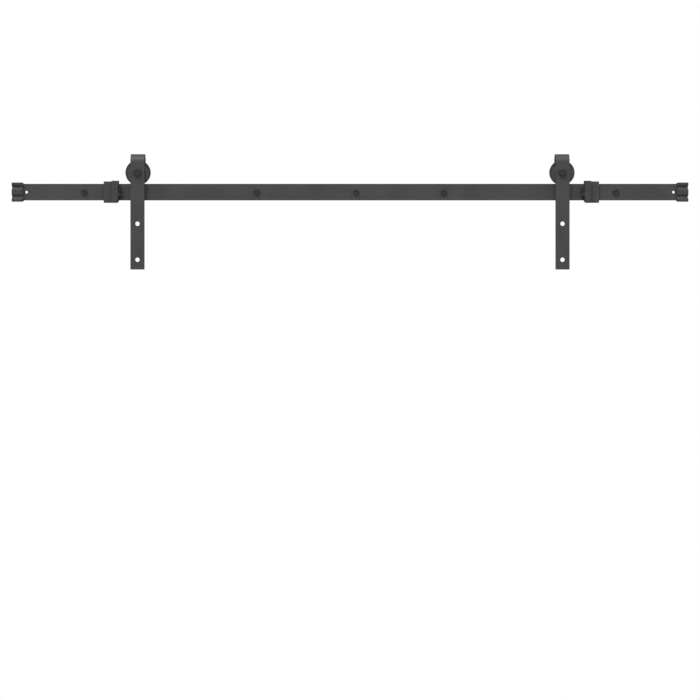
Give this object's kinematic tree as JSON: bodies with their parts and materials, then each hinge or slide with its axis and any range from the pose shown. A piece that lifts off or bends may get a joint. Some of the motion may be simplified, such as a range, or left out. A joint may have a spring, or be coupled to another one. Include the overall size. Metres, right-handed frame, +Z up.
{
  "type": "barn door track",
  "caption": "Flat-bar sliding barn door track with strap hangers on grooved wheels, sliding end stops, end caps and wall spacers.",
  "frame": {"origin": "on the wall's surface, level with the rail's centreline and halfway along the rail", "axes": "+X along the rail, to the right as seen from the room; +Y into the wall, so the front faces -Y; +Z up"},
  "size_m": [1.2248, 0.0818, 0.2087],
  "materials": {
    "powder_coat": "fine satin black powder coat over steel",
    "black_fastener": "black oxide fastener steel, lightly oiled",
    "wheel_nylon": "black turned nylon",
    "bumper_nylon": "black moulded nylon",
    "pad_rubber": "matt black soft rubber",
    "cap_rubber": "satin black moulded rubber",
    "bearing_steel": "ground bearing steel",
    "bearing_ball": "polished steel balls",
    "bearing_shield": "pressed steel shield",
    "bearing_cage": "pressed steel cage",
    "axle_spacer": "zinc-plated turned steel",
    "lock_nylon": "natural nylon insert"
  },
  "bodies": {
    "track": {"left_rail": "powder_coat", "right_rail": "powder_coat", "wall_spacer_1": "powder_coat", "wall_spacer_2": "powder_coat", "wall_spacer_3": "powder_coat", "wall_spacer_4": "powder_coat", "wall_spacer_5": "powder_coat", "wall_screws": "black_fastener", "left_end_cap": "cap_rubber", "right_end_cap": "cap_rubber"},
    "left_hanger": {"left_hanger_strap": "powder_coat", "left_axle_bolt": "black_fastener", "left_lock_nut": "black_fastener", "left_lock_nut_insert": "lock_nylon", "left_front_axle_spacer": "axle_spacer", "left_rear_axle_spacer": "axle_spacer", "left_bearing_inner_ring": "bearing_steel"},
    "left_wheel": {"left_wheel": "wheel_nylon", "left_bearing_outer_ring": "bearing_steel", "left_front_bearing_shield": "bearing_shield", "left_rear_bearing_shield": "bearing_shield"},
    "left_ball_cage": {"left_bearing_balls": "bearing_ball", "left_ball_cage": "bearing_cage"},
    "left_stop": {"left_stop_collar": "powder_coat", "left_stop_bumper": "bumper_nylon", "left_stop_pad": "pad_rubber", "left_stop_set_screws": "black_fastener"},
    "right_hanger": {"right_hanger_strap": "powder_coat", "right_axle_bolt": "black_fastener", "right_lock_nut": "black_fastener", "right_lock_nut_insert": "lock_nylon", "right_front_axle_spacer": "axle_spacer", "right_rear_axle_spacer": "axle_spacer", "right_bearing_inner_ring": "bearing_steel"},
    "right_wheel": {"right_wheel": "wheel_nylon", "right_bearing_outer_ring": "bearing_steel", "right_front_bearing_shield": "bearing_shield", "right_rear_bearing_shield": "bearing_shield"},
    "right_ball_cage": {"right_bearing_balls": "bearing_ball", "right_ball_cage": "bearing_cage"},
    "right_stop": {"right_stop_collar": "powder_coat", "right_stop_bumper": "bumper_nylon", "right_stop_pad": "pad_rubber", "right_stop_set_screws": "black_fastener"}
  },
  "joints": [
    {"name": "left_hanger_slide", "type": "slide", "parent": "track", "child": "left_hanger", "axis": [1, 0, 0], "range_m": [-0.017, 0.36]},
    {"name": "left_wheel_turn", "type": "hinge", "parent": "left_hanger", "child": "left_wheel", "pos_m": [-0.384, -0.0275, 0.03525], "axis": [0, 1, 0], "continuous": true},
    {"name": "left_ball_cage_turn", "type": "hinge", "parent": "left_hanger", "child": "left_ball_cage", "pos_m": [-0.384, -0.0275, 0.03525], "axis": [0, 1, 0], "continuous": true},
    {"name": "left_stop_slide", "type": "slide", "parent": "track", "child": "left_stop", "axis": [1, 0, 0], "range_m": [-0.025, 0]},
    {"name": "right_hanger_slide", "type": "slide", "parent": "track", "child": "right_hanger", "axis": [1, 0, 0], "range_m": [-0.36, 0.022]},
    {"name": "right_wheel_turn", "type": "hinge", "parent": "right_hanger", "child": "right_wheel", "pos_m": [0.384, -0.0275, 0.03525], "axis": [0, 1, 0], "continuous": true},
    {"name": "right_ball_cage_turn", "type": "hinge", "parent": "right_hanger", "child": "right_ball_cage", "pos_m": [0.384, -0.0275, 0.03525], "axis": [0, 1, 0], "continuous": true},
    {"name": "right_stop_slide", "type": "slide", "parent": "track", "child": "right_stop", "axis": [1, 0, 0], "range_m": [0, 0.02]}
  ],
  "couplings": [
    {"joint": "left_wheel_turn", "follows": "left_hanger_slide", "rad_per_m": 49.505},
    {"joint": "left_ball_cage_turn", "follows": "left_hanger_slide", "rad_per_m": 31.023},
    {"joint": "right_wheel_turn", "follows": "right_hanger_slide", "rad_per_m": 49.505},
    {"joint": "right_ball_cage_turn", "follows": "right_hanger_slide", "rad_per_m": 31.023}
  ]
}
